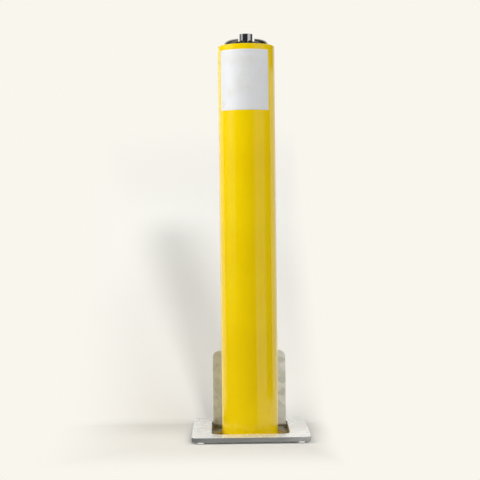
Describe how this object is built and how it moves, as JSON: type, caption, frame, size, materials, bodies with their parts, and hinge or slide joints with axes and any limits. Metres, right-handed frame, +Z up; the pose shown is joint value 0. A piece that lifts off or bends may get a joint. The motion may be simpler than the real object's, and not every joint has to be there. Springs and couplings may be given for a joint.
{
  "type": "telescopic bollard",
  "caption": "Round yellow telescopic bollard in a square ground plate with a hinged lid; the post drops into a buried sleeve and is held up by a push-down lock in its domed top.",
  "frame": {"origin": "post axis at ground level, which is the underside of the surface plate", "axes": "+Z up along the post, -Y to the front, lid hinge at the back on +Y"},
  "size_m": [0.2, 0.2, 1.59],
  "materials": {
    "yellow_paint": "gloss powder coat",
    "galvanised": "hot-dip galvanised",
    "bright_plate": "bright zinc",
    "plain_steel": "oiled mill finish",
    "chrome_pin": "polished",
    "dark_cap": "semi-gloss moulded",
    "black_nylon": "matt",
    "black_rubber": "matt",
    "brass_plug": "turned"
  },
  "bodies": {
    "ground_unit": {"surface_plate": "bright_plate", "recess_frame": "galvanised", "seat_plate": "galvanised", "upper_guide": "black_nylon", "guide_screws": "bright_plate", "ground_sleeve": "galvanised", "keep_ring": "plain_steel", "sleeve_base": "galvanised", "base_buffer": "black_rubber", "lid_buffers": "black_rubber", "hinge_lugs": "galvanised", "hinge_pin": "bright_plate"},
    "lid": {"lid_plate": "galvanised"},
    "post": {"post_tube": "yellow_paint", "top_cap": "dark_cap", "lock_bush": "brass_plug", "rod_guide_upper": "black_nylon", "rod_guide_lower": "black_nylon", "bolt_carrier": "plain_steel", "stop_collar": "plain_steel", "lower_guide": "black_nylon", "retaining_ring": "plain_steel", "post_foot": "plain_steel", "plunger_spring": "bright_plate"},
    "plunger": {"lock_plunger": "chrome_pin", "plunger_rod": "bright_plate", "cam_plate": "plain_steel", "rod_pins": "bright_plate"},
    "key_barrel": {"key_plug": "brass_plug", "cam_pin": "bright_plate"},
    "bolt_right": {"lock_bolt_right": "bright_plate", "bolt_pin_right": "bright_plate"},
    "bolt_left": {"lock_bolt_left": "bright_plate", "bolt_pin_left": "bright_plate"}
  },
  "joints": [
    {"name": "post_slide", "type": "slide", "parent": "ground_unit", "child": "post", "axis": [0, 0, 1], "range_m": [-0.705, 0]},
    {"name": "lid_hinge", "type": "hinge", "parent": "ground_unit", "child": "lid", "pos_m": [0, 0.0642, 0.004], "axis": [1, 0, 0], "range_deg": [0, 6.9]},
    {"name": "lock_plunge", "type": "slide", "parent": "post", "child": "plunger", "axis": [0, 0, 1], "range_m": [-0.012, 0], "stiffness_N_per_m": 2500, "springref_m": 0.008, "deforming": ["plunger_spring"]},
    {"name": "key_turn", "type": "hinge", "parent": "plunger", "child": "key_barrel", "pos_m": [0, 0, 0.6946], "axis": [0, 0, 1], "range_deg": [0, 90]},
    {"name": "bolt_right_slide", "type": "slide", "parent": "post", "child": "bolt_right", "axis": [1, 0, 0], "range_m": [0, 0.012]},
    {"name": "bolt_left_slide", "type": "slide", "parent": "post", "child": "bolt_left", "axis": [-1, 0, 0], "range_m": [0, 0.012]}
  ],
  "couplings": [
    {"joint": "bolt_right_slide", "follows": "lock_plunge", "ratio": -1},
    {"joint": "bolt_left_slide", "follows": "lock_plunge", "ratio": -1}
  ]
}
